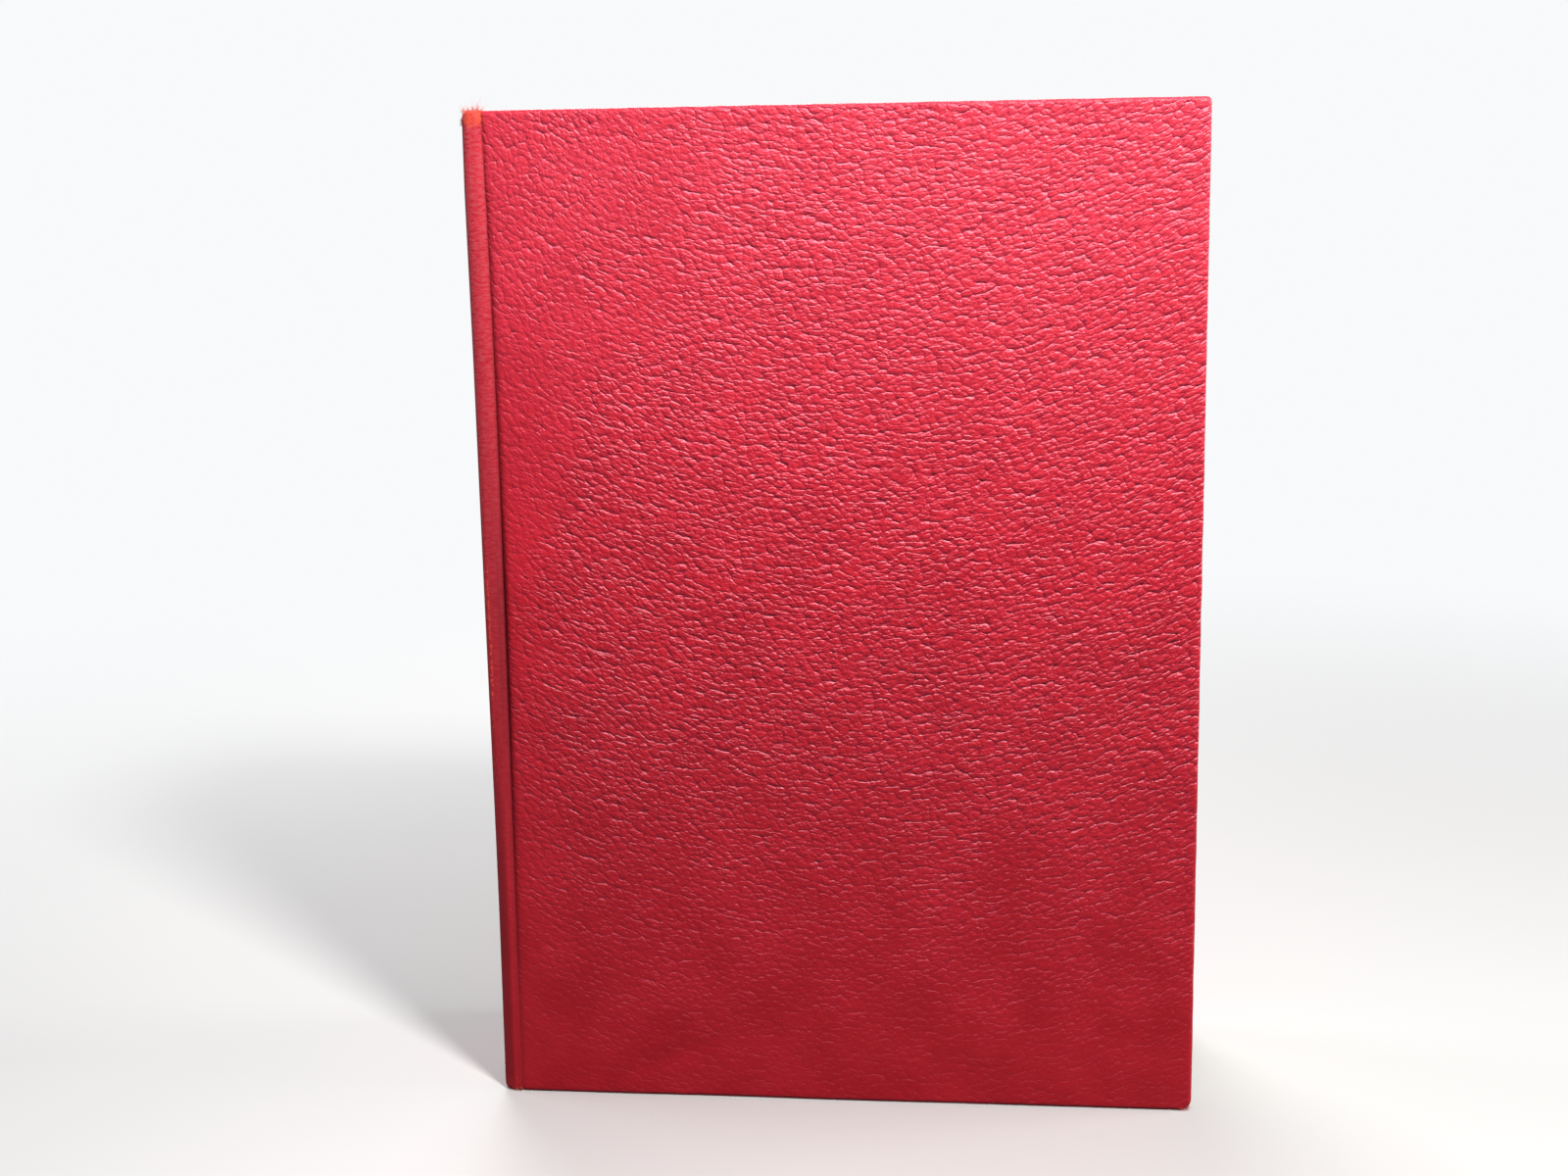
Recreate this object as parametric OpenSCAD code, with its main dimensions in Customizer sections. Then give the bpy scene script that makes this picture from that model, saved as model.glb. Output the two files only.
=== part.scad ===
// Thick hardbound book in a square-backed leather case, standing on its tail.
// +Z is up, the spine is at -X, the front cover faces -Y.
// The origin is at the middle of the book's footprint, on the surface that it stands on.

/* [Case] */
// Height of the covers, head to tail
case_h = 260; // [200:1:320]
// Width from the back of the spine to the fore edge of the covers
case_w = 184; // [140:1:240]
// Thickness over both covers
case_t = 58; // [36:1:90]
// Width of the open crease between the spine's bead and a cover
crease_w = 1; // [0.6:0.1:3]
// Radius of the covers' corners at the fore edge
corner_r = 3; // [1.5:0.5:8]

/* [Boards] */
// Thickness of the front and back boards
board_t = 3; // [2:0.25:5]
// Thickness of the stiff strip in the spine
spine_board_t = 3; // [1.5:0.25:5]

/* [Leather] */
// Thickness of the leather
leather_t = 0.8; // [0.5:0.1:1.2]
// Thickness of the leather where it is pared and turned in
turn_in_t = 0.4; // [0.3:0.05:0.6]
// Width of the turned-in leather inside the covers
turn_in_w = 15; // [10:1:22]
// Thickness of the strip of leather at the bottom of each crease
joint_leather_t = 0.8; // [0.5:0.1:1.2]
// Distance from the head and tail of the covers to the ends of that strip
joint_leather_inset = 1; // [0.5:0.5:3]

/* [Endpapers] */
// Thickness of the paper pasted inside each cover
pastedown_t = 0.25; // [0.15:0.05:0.4]
// Border of leather left bare around the pasted paper
pastedown_border = 4; // [2:0.5:8]
// Thickness of each loose flyleaf
flyleaf_t = 0.25; // [0.15:0.05:0.4]

/* [Text block] */
// Distance from the edges of the leaves in to the edges of the covers
square = 3; // [1.5:0.5:6]
// Air between two neighbouring sections
section_air = 0.02; // [0.02:0.01:0.05]
// Air between a closed cover and its flyleaf
cover_air = 0.3; // [0.2:0.05:0.6]

/* [Spine linings] */
// Thickness of the open-weave cloth on the back of the text block
mull_t = 0.3; // [0.2:0.05:0.5]
// Width of the cloth's flange inside each cover
mull_flange_w = 28; // [16:1:40]
// Distance from the head and tail of the covers to the cloth
mull_margin = 16; // [12:1:30]
// Thickness of the kraft paper over the cloth
lining_t = 0.4; // [0.2:0.1:0.8]
// Distance from the head and tail of the leaves to the kraft paper
lining_margin = 2; // [1:0.5:6]
// Depth of the hollow between the kraft paper and the case
hollow = 0.5; // [0.3:0.1:0.9]

/* [Sewing] */
// Width of each linen tape
tape_w = 12; // [8:1:16]
// Thickness of each linen tape
tape_t = 0.3; // [0.2:0.05:0.5]
// Diameter of the sewing thread
thread_d = 0.5; // [0.3:0.1:0.8]
// Length of thread seen on each side of a tape
thread_overrun = 1; // [0.5:0.5:2]
// Distance from the ends of the leaves to the kettle stitches
kettle_inset = 8; // [6:1:10]

/* [Headbands] */
// Radius of the rolled core of each headband
headband_r = 1.2; // [0.8:0.1:1.4]
// Height of the band's cloth that is glued down the back of the leaves
headband_tongue_h = 6; // [4:0.5:8]
// Thickness of the band's cloth
headband_cloth_t = 0.3; // [0.2:0.05:0.4]
// Distance from the outer sections to the ends of each headband
headband_inset = 1; // [0.5:0.5:3]

/* [Hidden] */
$fn = 64;
section_count = 24;
tape_count = 4;
// Clearance between the headbands and the leaves that turn under them
headband_air = 0.3;
// Clearance between the crease's leather and the cover that swings past it
crease_air = 0.1;
// Clearance between the kettle stitches and the folds that turn beside them
kettle_air = 0.05;

// Planes across the width, from the spine to the fore edge
x_spine = -case_w / 2;
x_fore = case_w / 2;
x_strip = x_spine + leather_t;
x_strip_in = x_strip + spine_board_t;
x_bead = x_strip_in + leather_t;
x_cover = x_bead + crease_w;
x_board = x_cover + leather_t;
x_flange = x_board + mull_flange_w;
x_window = x_fore - turn_in_w;
bead_r = (x_bead - x_spine) / 2;
x_case_in = x_strip_in + turn_in_t;
x_lining = x_case_in + hollow;
x_mull = x_lining + lining_t;
x_thread = x_mull + mull_t;
x_leaf = x_thread + thread_d + tape_t;
x_leaf_fore = x_fore - square;

// Planes across the front half of the thickness; the back half is its mirror image
y_face = -case_t / 2;
y_board = y_face + leather_t;
y_board_in = y_board + board_t;
y_pastedown = y_board_in + turn_in_t;
y_pastedown_in = y_pastedown + pastedown_t;
y_flyleaf = y_pastedown_in + cover_air;
y_block = y_flyleaf + flyleaf_t;

// Text block
block_t = -2 * y_block;
section_pitch = block_t / section_count;
leaf_bottom = square;
leaf_top = case_h - square;
leaf_h = leaf_top - leaf_bottom;
tape_pitch = (leaf_h - 2 * kettle_inset) / (tape_count + 1);

function section_name(k) = str("section_", k < 10 ? "0" : "", k);
function section_front(k) = y_block + (k - 1) * section_pitch;

// A flat outline in X and Z, thickened from y0 to y1
module slab(y0, y1) {
    translate([0, y1, 0])
        rotate([90, 0, 0])
            linear_extrude(y1 - y0)
                children();
}

// A cuboid between two opposite corners
module block(low, high) {
    translate(low)
        cube(high - low);
}

// Mirror image of a piece of the front half
module at_back() {
    mirror([0, 1, 0])
        children();
}

// Outline of a cover, moved in by inset on its three free edges, with round corners at the fore edge
module cover_outline(left, inset) {
    r = corner_r - inset;
    right = x_fore - inset;
    high = case_h - inset;
    translate([left, inset])
        square([right - r - left, high - inset]);
    translate([left, inset + r])
        square([right - left, high - inset - 2 * r]);
    for (z = [inset + r, high - r])
        translate([right - r, z])
            circle(r);
}

// Cross-section of the spine, moved in by inset: a strip with half-round beads along its two long edges
module spine_section(inset) {
    r = bead_r - inset;
    translate([x_spine + inset, y_face + bead_r])
        square([2 * r, case_t - 2 * bead_r]);
    for (side = [-1, 1])
        translate([x_spine + bead_r, side * (case_t / 2 - bead_r)])
            circle(r);
}

module board() {
    color("#b3a184")
        slab(y_board, y_board_in)
            cover_outline(x_board, leather_t);
}

module front_board() {
    board();
}

module back_board() {
    at_back()
        board();
}

module spine_board() {
    color("#b3a184")
        translate([0, 0, leather_t])
            linear_extrude(case_h - 2 * leather_t)
                spine_section(leather_t);
}

// Skin of one cover: its face, its four edges and the ring turned in over three of them
module cover_leather() {
    color("#c42034")
        difference() {
            slab(y_face, y_pastedown)
                cover_outline(x_cover, 0);
            slab(y_board, y_board_in)
                cover_outline(x_board, leather_t);
            block([x_board, y_board, turn_in_w], [x_window, y_pastedown + 1, case_h - turn_in_w]);
        }
}

module front_cover_leather() {
    cover_leather();
}

module back_cover_leather() {
    at_back()
        cover_leather();
}

// Skin of the spine, wrapped round the long edges of its strip and turned in at head and tail
module spine_leather() {
    color("#b81f33") {
        difference() {
            linear_extrude(case_h)
                spine_section(0);
            translate([0, 0, leather_t])
                linear_extrude(case_h - 2 * leather_t)
                    spine_section(leather_t);
            block([x_strip_in, y_pastedown, -1], [x_bead + 1, -y_pastedown, case_h + 1]);
        }
        for (z = [0, case_h - turn_in_w])
            block([x_strip_in, y_pastedown, z], [x_case_in, -y_pastedown, z + turn_in_w]);
    }
}

// Leather at the bottom of the crease that a cover folds on
module joint_leather() {
    color("#8f1424")
        block(
            [x_bead, y_pastedown - joint_leather_t, joint_leather_inset],
            [x_cover - crease_air, y_pastedown, case_h - joint_leather_inset]
        );
}

module front_joint_leather() {
    joint_leather();
}

module back_joint_leather() {
    at_back()
        joint_leather();
}

// Card that fills the ring of turned-in leather, level with it
module infill() {
    color("#c9bda4")
        block([x_flange, y_board_in, turn_in_w], [x_window, y_pastedown, case_h - turn_in_w]);
}

module front_infill() {
    infill();
}

module back_infill() {
    at_back()
        infill();
}

// Flange of the spine's cloth, glued to the board beside the infill
module mull_flange() {
    color("#ddd6c6")
        block([x_board, y_board_in, turn_in_w], [x_flange, y_pastedown, case_h - turn_in_w]);
}

module front_mull_flange() {
    mull_flange();
}

module back_mull_flange() {
    at_back()
        mull_flange();
}

module spine_mull() {
    color("#ddd6c6")
        block([x_mull, y_block, mull_margin], [x_thread, -y_block, case_h - mull_margin]);
}

module spine_lining() {
    color("#a98a5f")
        block(
            [x_lining, y_block, leaf_bottom + lining_margin],
            [x_mull, -y_block, leaf_top - lining_margin]
        );
}

module pastedown() {
    color("#e9e0cd")
        block(
            [x_board, y_pastedown, pastedown_border],
            [x_fore - pastedown_border, y_pastedown_in, case_h - pastedown_border]
        );
}

module front_pastedown() {
    pastedown();
}

module back_pastedown() {
    at_back()
        pastedown();
}

module flyleaf() {
    color("#efe7d6")
        block([x_leaf, y_flyleaf, leaf_bottom], [x_leaf_fore, y_block, leaf_top]);
}

module front_flyleaf() {
    flyleaf();
}

module back_flyleaf() {
    at_back()
        flyleaf();
}

// One section: a stack of folded leaves with a half-round fold along the spine
module section(k) {
    low = section_front(k) + section_air / 2;
    high = section_front(k + 1) - section_air / 2;
    fold_r = (high - low) / 2;
    color(k % 2 == 0 ? "#ece2cc" : "#e4d9c0")
        translate([0, 0, leaf_bottom])
            linear_extrude(leaf_h) {
                translate([x_leaf + fold_r, low])
                    square([x_leaf_fore - x_leaf - fold_r, high - low]);
                translate([x_leaf + fold_r, low + fold_r])
                    circle(fold_r);
            }
}

// Rolled core across the top of the folds, with its cloth glued down behind them
module headband_shape() {
    low = y_block + section_pitch + headband_inset;
    core_z = leaf_top + headband_air + headband_r;
    cloth_right = x_leaf - tape_t;
    color("#d8c79a") {
        translate([cloth_right - headband_cloth_t + headband_r, -low, core_z])
            rotate([90, 0, 0])
                cylinder(h = -2 * low, r = headband_r);
        block(
            [cloth_right - headband_cloth_t, low, leaf_top - headband_tongue_h],
            [cloth_right, -low, core_z]
        );
    }
}

module headband() {
    headband_shape();
}

module tailband() {
    translate([0, 0, case_h])
        mirror([0, 0, 1])
            headband_shape();
}

function tape_z(k) = leaf_bottom + kettle_inset + k * tape_pitch;

module sewing_tape(k) {
    color("#e3dcc9")
        block(
            [x_leaf - tape_t, y_block, tape_z(k) - tape_w / 2],
            [x_leaf, -y_block, tape_z(k) + tape_w / 2]
        );
}

// Thread passing over every tape at every fold, and the kettle stitches near head and tail
module sewing_thread() {
    pass_h = tape_w + 2 * thread_overrun;
    kettle_end = y_block + section_pitch / 2;
    color("#f2ecdc") {
        for (k = [1:section_count])
            for (t = [1:tape_count])
                translate([
                    x_leaf - tape_t - thread_d / 2,
                    section_front(k) + section_pitch / 2,
                    tape_z(t) - pass_h / 2
                ])
                    cylinder(h = pass_h, d = thread_d);
        for (z = [leaf_bottom + kettle_inset, leaf_top - kettle_inset])
            translate([x_leaf - kettle_air - thread_d / 2, -kettle_end, z])
                rotate([90, 0, 0])
                    cylinder(h = -2 * kettle_end, d = thread_d);
    }
}

front_board();
back_board();
spine_board();
front_cover_leather();
back_cover_leather();
spine_leather();
front_joint_leather();
back_joint_leather();
front_infill();
back_infill();
front_mull_flange();
back_mull_flange();
spine_mull();
spine_lining();
front_pastedown();
back_pastedown();
front_flyleaf();
back_flyleaf();
headband();
tailband();
for (k = [1:tape_count])
    sewing_tape(k);
sewing_thread();
for (k = [1:section_count])
    section(k);
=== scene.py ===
# A thick hardbound book in red pebble-grained leather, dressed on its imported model.
import math

import bmesh
import bpy
import numpy as np
from mathutils import Euler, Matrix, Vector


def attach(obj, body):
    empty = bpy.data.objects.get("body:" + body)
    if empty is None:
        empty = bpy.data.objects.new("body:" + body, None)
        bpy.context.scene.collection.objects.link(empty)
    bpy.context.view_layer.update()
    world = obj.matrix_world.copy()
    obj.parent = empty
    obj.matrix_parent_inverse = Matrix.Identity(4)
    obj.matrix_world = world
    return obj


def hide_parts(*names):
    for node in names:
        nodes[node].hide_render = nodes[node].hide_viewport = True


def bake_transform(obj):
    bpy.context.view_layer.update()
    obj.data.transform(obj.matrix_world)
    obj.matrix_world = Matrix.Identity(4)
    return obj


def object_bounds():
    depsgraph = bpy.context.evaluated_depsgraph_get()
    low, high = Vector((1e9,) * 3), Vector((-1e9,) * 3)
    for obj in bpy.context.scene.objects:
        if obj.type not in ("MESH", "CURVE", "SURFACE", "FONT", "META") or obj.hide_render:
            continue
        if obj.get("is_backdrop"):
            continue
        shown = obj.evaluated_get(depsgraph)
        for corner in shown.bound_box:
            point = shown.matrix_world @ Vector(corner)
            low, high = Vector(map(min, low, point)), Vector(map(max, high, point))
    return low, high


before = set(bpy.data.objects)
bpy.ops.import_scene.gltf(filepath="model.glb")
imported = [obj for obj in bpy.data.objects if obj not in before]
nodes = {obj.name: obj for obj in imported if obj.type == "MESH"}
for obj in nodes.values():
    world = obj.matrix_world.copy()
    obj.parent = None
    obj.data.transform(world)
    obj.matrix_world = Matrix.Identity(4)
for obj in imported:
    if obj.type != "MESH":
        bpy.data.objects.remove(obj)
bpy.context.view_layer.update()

mm = 0.001

# The book's own planes in millimetres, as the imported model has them.
book = {
    "height": 260.0,
    "faceY": -29.0,
    "turnInY": -24.8,
    "blockY": -24.0,
    "leafX": -85.8,
    "leafForeX": 89.0,
    "leafTailZ": 3.0,
    "leafHeadZ": 257.0,
    "foreX": 92.0,
    "beadCentreX": -89.7,
    "beadCentreY": -26.7,
    "beadR": 2.3,
    "sections": 24,
    "sectionPitch": 2.0,
}


def rows(count, columns, start=0, closed=False):
    # Quads of a grid: point (r, c) is number start + r * columns + c.
    # A closed grid joins its last column to its first.
    r = np.arange(count - 1)[:, None]
    c = np.arange(columns if closed else columns - 1)[None, :]
    a = r * columns + c
    b = r * columns + (c + 1) % columns
    return start + np.stack([a, b, b + columns, a + columns], -1).reshape(-1, 4)


def makePiece(name, points, faces, finish, lay=None, marks=None, weld=True, smooth=True, flat=None):
    # points and lay are in millimetres; lay is where a point lies on the flat leather or paper.
    points = np.asarray(points, float)
    mesh = bpy.data.meshes.new(name)
    mesh.from_pydata((points * mm).tolist(), [], [list(map(int, f)) for f in faces])
    lay = points if lay is None else np.asarray(lay, float)
    field = mesh.attributes.new("lay", "FLOAT_VECTOR", "POINT")
    field.data.foreach_set("vector", (lay * mm).astype(np.float32).ravel())
    if marks is not None:
        field = mesh.attributes.new("marks", "FLOAT_VECTOR", "POINT")
        field.data.foreach_set("vector", np.asarray(marks, np.float32).ravel())
    if weld:
        shell = bmesh.new()
        shell.from_mesh(mesh)
        bmesh.ops.remove_doubles(shell, verts=shell.verts, dist=2e-6)
        bmesh.ops.dissolve_degenerate(shell, edges=shell.edges, dist=1e-7)
        shell.to_mesh(mesh)
        shell.free()
    mesh.shade_smooth() if smooth else mesh.shade_flat()
    mesh.materials.append(finish)
    piece = bpy.data.objects.new(name, mesh)
    bpy.context.scene.collection.objects.link(piece)
    return piece


def ripples(u, v, seed, scale, count=14):
    # Sum of sine waves of random direction, of wavelengths near scale, scaled to about -1..1.
    rng = np.random.default_rng(seed)
    total = np.zeros(np.broadcast(u, v).shape)
    for wave in range(count):
        turn = rng.uniform(0, math.tau)
        length = scale * rng.uniform(0.6, 1.8)
        run = (u * math.cos(turn) + v * math.sin(turn)) * math.tau / length
        total += np.sin(run + rng.uniform(0, math.tau))
    return total / math.sqrt(count)


def bell(x, middle, width):
    return np.exp(-((x - middle) / width) ** 2)


def ramp(x, start, end):
    # 0 at start and 1 at end, straight between them.
    return np.clip((x - start) / (end - start), 0, 1)


def mirrored(points, faces):
    # Front to back: y changes sign and each face turns round, so it still points outwards.
    points = points.copy()
    points[:, 1] *= -1
    return points, [f[::-1] for f in faces]


class Wire:
    # A socket of one finish; each operator adds a Math node.
    def __init__(self, finish, socket):
        self.finish, self.socket = finish, socket

    def math(self, operation, *others):
        values = dict(enumerate((self,) + others))
        return self.finish.add("ShaderNodeMath", {"operation": operation}, values)

    def __add__(self, other): return self.math("ADD", other)
    def __radd__(self, other): return self.math("ADD", other)
    def __sub__(self, other): return self.math("SUBTRACT", other)
    def __mul__(self, other): return self.math("MULTIPLY", other)
    def __rmul__(self, other): return self.math("MULTIPLY", other)

    def __rsub__(self, other):
        return self.finish.add("ShaderNodeMath", {"operation": "SUBTRACT"}, {0: other, 1: self})


class Finish:
    # One material: its Principled shader, and add() for every other node.
    def __init__(self, name, **shader):
        self.material = bpy.data.materials.new(name)
        self.material.use_nodes = True
        self.tree = self.material.node_tree
        self.tree.nodes.clear()
        self.output = self.tree.nodes.new("ShaderNodeOutputMaterial")
        self.shader = self.tree.nodes.new("ShaderNodeBsdfPrincipled")
        self.tree.links.new(self.shader.outputs[0], self.output.inputs[0])
        self.set(**shader)

    def feed(self, socket, value):
        if isinstance(value, Wire):
            self.tree.links.new(value.socket, socket)
        else:
            socket.default_value = value

    def set(self, **values):
        for name, value in values.items():
            words = "".join(" " + c if c.isupper() else c for c in name).strip().title()
            self.feed(self.shader.inputs[words.replace("Ior", "IOR")], value)

    def add(self, kind, settings={}, values={}, out=0):
        made = self.tree.nodes.new(kind)
        for name, value in settings.items():
            setattr(made, name, value)
        for key, value in values.items():
            self.feed(made.inputs[key], value)
        return Wire(self, made.outputs[out])

    def place(self):
        return self.add("ShaderNodeTexCoord", out="Object")

    def lay(self):
        return self.add("ShaderNodeAttribute", {"attribute_name": "lay"}, out="Vector")

    def marks(self):
        return self.split(self.add("ShaderNodeAttribute", {"attribute_name": "marks"}, out="Vector"))

    def split(self, vector):
        parts = self.add("ShaderNodeSeparateXYZ", {}, {0: vector})
        return [Wire(self, parts.socket.node.outputs[i]) for i in range(3)]

    def join(self, x, y, z=0.0):
        return self.add("ShaderNodeCombineXYZ", {}, {0: x, 1: y, 2: z})

    def noise(self, vector, scale, detail=2.0, roughness=0.5):
        values = {"Vector": vector, "Scale": scale, "Detail": detail, "Roughness": roughness}
        return self.add("ShaderNodeTexNoise", {}, values)

    def cells(self, vector, scale, feature, **more):
        settings = {"feature": feature, "voronoi_dimensions": "2D"}
        return self.add("ShaderNodeTexVoronoi", settings, {"Vector": vector, "Scale": scale, **more})

    def vector(self, operation, *values, out=0):
        settings = {"operation": operation}
        return self.add("ShaderNodeVectorMath", settings, dict(enumerate(values)), out)

    def step(self, value, low, high):
        settings = {"interpolation_type": "SMOOTHSTEP"}
        return self.add("ShaderNodeMapRange", settings, {0: value, 1: low, 2: high})

    def mix(self, share, first, second):
        first, second = [(*c, 1) if isinstance(c, tuple) else c for c in (first, second)]
        return self.add("ShaderNodeMix", {"data_type": "RGBA"}, {0: share, 6: first, 7: second}, out=2)

    def bump(self, height, distance, normal=None):
        values = {"Height": height, "Distance": distance}
        if normal:
            values["Normal"] = normal
        return self.add("ShaderNodeBump", {}, values)


camera = {"place": (0.0476, -0.5690, 0.2479), "turn": (78.721, 0.974, 6.221), "lens": 49.86}
lamps = {
    "key": {"place": (0.22, -0.38, 0.62), "size": 0.11, "power": 5.8, "colour": (1.0, 0.98, 0.96)},
    "fill": {"place": (-0.30, -0.90, 1.10), "size": 0.80, "power": 0.5, "colour": (0.96, 0.98, 1.0)},
    "back": {"place": (-0.30, 0.95, 0.75), "size": 0.80, "power": 11.0, "colour": (1.0, 1.0, 1.0)},
    "foreSide": {"place": (1.15, 0.14, 0.50), "size": 0.60, "power": 7.0, "colour": (1.0, 0.99, 0.97)},
    "spineSide": {"place": (-1.15, 0.22, 0.50), "size": 0.60, "power": 5.0, "colour": (0.98, 0.99, 1.0)},
}
studio = {
    "aim": (0.0, 0.0, 0.14),  # where the lamps point
    "air": 0.13,  # light from all round
    "paper": 0.96,  # brightness of the background
    "board": (0.585, 0.61),  # grey of the floor, darkest and palest
    "bounce": 0.16,  # grey of the floor as the book sees it
    "fade": (0.22, 0.75),  # the floor runs out into the background between these distances
    "reach": 6.0,  # half the floor's width
}

lens = bpy.data.cameras.new("camera")
lens.lens, lens.sensor_width = camera["lens"], 36.0
lens.clip_start, lens.clip_end = 0.01, 20.0
eye = bpy.data.objects.new("camera", lens)
eye.location = camera["place"]
eye.rotation_euler = [math.radians(a) for a in camera["turn"]]
bpy.context.scene.collection.objects.link(eye)
bpy.context.scene.camera = eye
bpy.context.scene.view_settings.view_transform = "Standard"

for name, values in lamps.items():
    light = bpy.data.lights.new(name, "AREA")
    light.shape, light.size = "DISK", values["size"]
    light.energy, light.color = values["power"], values["colour"]
    lamp = bpy.data.objects.new(name, light)
    lamp.location = values["place"]
    aim = np.array(studio["aim"]) - np.array(values["place"])
    away = math.atan2(math.hypot(aim[0], aim[1]), -aim[2])
    lamp.rotation_euler = Euler((away, 0, math.atan2(aim[1], aim[0]) - math.pi / 2))
    lamp.visible_camera = False
    bpy.context.scene.collection.objects.link(lamp)

world = bpy.data.worlds.new("air")
bpy.context.scene.world = world
world.use_nodes = True
air = world.node_tree
air.nodes.clear()
dim, pale = air.nodes.new("ShaderNodeBackground"), air.nodes.new("ShaderNodeBackground")
dim.inputs[0].default_value, dim.inputs[1].default_value = (0.96, 0.98, 1.0, 1), studio["air"]
pale.inputs[0].default_value, pale.inputs[1].default_value = (0.98, 0.99, 1.0, 1), studio["paper"]
both = air.nodes.new("ShaderNodeMixShader")
air.links.new(air.nodes.new("ShaderNodeLightPath").outputs["Is Camera Ray"], both.inputs[0])
air.links.new(dim.outputs[0], both.inputs[1])
air.links.new(pale.outputs[0], both.inputs[2])
air.links.new(both.outputs[0], air.nodes.new("ShaderNodeOutputWorld").inputs[0])

# The floor is pale board near the book and runs out into the background.
floorFinish = Finish("paleFloor", roughness=0.7)
floorPlace = floorFinish.place()
darkBoard, paleBoard, bounce = [(v, v, v) for v in (*studio["board"], studio["bounce"])]
floorColour = floorFinish.mix(floorFinish.noise(floorPlace, 3.0), darkBoard, paleBoard)
path = floorFinish.add("ShaderNodeLightPath", out="Is Camera Ray")
floorFinish.set(baseColor=floorFinish.mix(path, bounce, floorColour))
far = floorFinish.step(floorFinish.vector("LENGTH", floorPlace, out="Value"), *studio["fade"])
glowValues = {"Color": (0.98, 0.99, 1.0, 1), "Strength": studio["paper"]}
glow = floorFinish.add("ShaderNodeEmission", {}, glowValues)
board = Wire(floorFinish, floorFinish.shader.outputs[0])
mixed = floorFinish.add("ShaderNodeMixShader", {}, {0: far * path, 1: board, 2: glow})
floorFinish.feed(floorFinish.output.inputs[0], mixed)
floorMesh = bpy.data.meshes.new("floor")
w = studio["reach"]
floorMesh.from_pydata([(-w, -w, 0), (w, -w, 0), (w, w, 0), (-w, w, 0)], [], [(0, 1, 2, 3)])
floorMesh.materials.append(floorFinish.material)
floor = bpy.data.objects.new("floor", floorMesh)
bpy.context.scene.collection.objects.link(floor)
floor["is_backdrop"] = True
print("camera and light are set")


leather = {
    # deep and bright: painted shade at the foot and painted light at the head
    "deep": (0.40, 0.002, 0.011),  # at the foot
    "bright": (0.73, 0.016, 0.038),  # at the head
    "creviceShade": (0.27, 0.003, 0.040),  # painted shade in cracks and on the under sides of pebbles
    "paintedSheen": (0.95, 0.130, 0.220),  # painted highlight on upper flanks of pebbles, and painted sheen
    "paintedGlint": (1.0, 0.34, 0.42),  # painted glints on their steepest parts
    "groove": (0.10, 0.001, 0.006),
    # worn: orange of worn leather, also the colour of the painted highlights along the bead
    "worn": (0.90, 0.10, 0.045),
    "rubbed": (0.57, 0.090, 0.120),  # fibres of the bead
    "beadShade": (0.25, 0.004, 0.014),
    # the grain beside the spine and the one beside the fore edge: slope of its rows in degrees,
    # a pebble's length and height in millimetres, and how much the rows sag
    "nearSpine": (-42.0, 1.85, 1.55, 0.0),
    "nearFore": (0.0, 2.1, 1.45, 2.4),
    "change": (-68.0, -18.0),  # the first changes into the second between these widths
    "dome": 0.21,  # height of a pebble's dome
    "lump": 0.08,  # height of the small lumps on it
    "fold": 0.06,  # depth of the long folds that the rows follow
    "gap": 0.04,  # depth of the cracks between pebbles
    "smoothFoot": (6.0, 112.0),  # the grain fades out between these heights
    "footGrain": 0.16,  # what is left of it below
    "fine": 0.020,  # relief of the finest grain
    "fibres": 0.09,  # relief of the bead's fibres
    "gloss": 0.20,  # coat on the full grain
    # how strongly each tint covers the one below it
    "share": {
        "crackShade": 0.30, "underSideShade": 0.48, "upperSideHighlight": 0.75, "steepestGlint": 0.45, "veil": 0.24,
        "lines": 0.24, "shadedFibres": 0.6, "beadFootShade": 0.38, "groove": 0.85, "worn": 0.75,
    },
}
pebble = {
    "wobbles": ((0.30, 0.9), (1.5, 0.24)),  # scale and reach of the two bends of the rows
    "lumps": 2.3,  # small lumps along a pebble
    "crack": 0.20,  # width of a crack, as a share of a pebble
    "sagAt": 0.005,  # where the rows lie lowest, in metres from the middle
    "foldScale": (0.17, 0.50),
}


def pebbles(skin, place, slope, length, height, sag):
    # Domes of rounded cells, smaller lumps on them, how deep the crease between two cells is
    # at a point, and long folds.
    v = pebble
    u, z, _ = skin.split(place)
    z = z - (u - v["sagAt"]) * (u - v["sagAt"]) * sag
    c, s = math.cos(math.radians(slope)), math.sin(math.radians(slope))
    grain = skin.join((u * c + z * s) * (1000.0 / length), (z * c - u * s) * (1000.0 / height))
    for scale, reach in v["wobbles"]:
        values = {"Vector": grain, "Scale": scale, "Detail": 1.0}
        wobble = skin.add("ShaderNodeTexNoise", {"noise_dimensions": "2D"}, values, "Color")
        scaled = {0: wobble, "Scale": reach}
        wobble = skin.add("ShaderNodeVectorMath", {"operation": "SCALE"}, scaled)
        grain = skin.vector("ADD", grain, wobble)
    middle = skin.cells(grain, 1.0, "SMOOTH_F1", Smoothness=0.25)
    small = skin.cells(grain, v["lumps"], "SMOOTH_F1", Smoothness=0.3)
    gap = skin.cells(grain, 1.0, "DISTANCE_TO_EDGE")
    depth = skin.step(skin.noise(grain, 0.5, 1.0), 0.36, 0.64) * 0.75 + 0.25
    x, y, _ = skin.split(grain)
    long = skin.join(x * v["foldScale"][0], y * v["foldScale"][1])
    fold = (skin.noise(long, 1.0, 1.0) - 0.5).math("ABSOLUTE")
    dome, lump = 1.0 - middle * middle * 2.0, 1.0 - small * small * 2.0
    crack = (1.0 - skin.step(gap, 0.0, v["crack"])) * depth
    return dome, lump, crack, 1.0 - skin.step(fold, 0.0, 0.05)


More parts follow.
